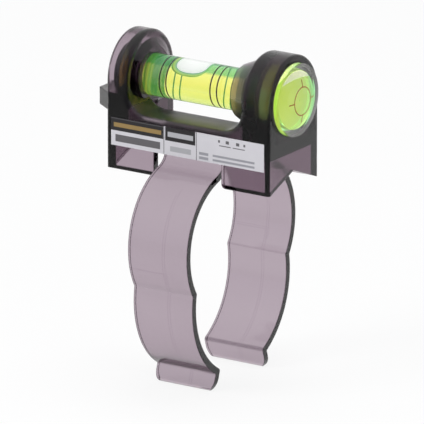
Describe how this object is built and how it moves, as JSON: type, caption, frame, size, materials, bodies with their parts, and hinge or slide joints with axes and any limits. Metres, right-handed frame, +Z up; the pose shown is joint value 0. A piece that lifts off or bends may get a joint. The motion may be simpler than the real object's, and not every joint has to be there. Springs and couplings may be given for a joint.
{
  "type": "clip-on drill level",
  "caption": "Smoke-clear clip-on level with spring arms that snap round a drill, a tubular vial between its ears and a domed round vial in one end.",
  "frame": {"origin": "centre of the drill housing that the arms grip, on the middle of the arms' width", "axes": "+X along the tubular vial towards the round vial, -Y towards the label, +Z up from the drill to the vials"},
  "size_m": [0.0695, 0.0616, 0.1076],
  "materials": {
    "smoke_plastic": "polished, smoke-tinted clear moulding",
    "clear_plastic": "polished and clear",
    "tube_spirit": "clear yellow-green liquid",
    "round_spirit": "clear yellow-green liquid",
    "bubble": "bright air bubble",
    "black_ink": "printed line",
    "ring_ink": "printed ring",
    "white_plastic": "satin",
    "label": "printed film"
  },
  "bodies": {
    "level": {"body": "smoke_plastic", "tube_barrel": "clear_plastic", "tube_plug": "clear_plastic", "tube_spirit": "tube_spirit", "tube_lines": "black_ink", "round_lens": "clear_plastic", "round_disc": "white_plastic", "round_spirit": "round_spirit", "round_ring": "ring_ink", "label": "label"},
    "tube_air": {"tube_bubble": "bubble"},
    "round_air": {"round_bubble": "bubble"}
  },
  "joints": [
    {"name": "tube_bubble_run", "type": "slide", "parent": "level", "child": "tube_air", "axis": [1, 0, 0], "range_m": [-0.0129, 0.0169]},
    {"name": "round_bubble_run", "type": "hinge", "parent": "level", "child": "round_air", "pos_m": [-0.00225, 0, 0.0645], "axis": [0, 1, 0], "range_deg": [0, 18.4]}
  ]
}
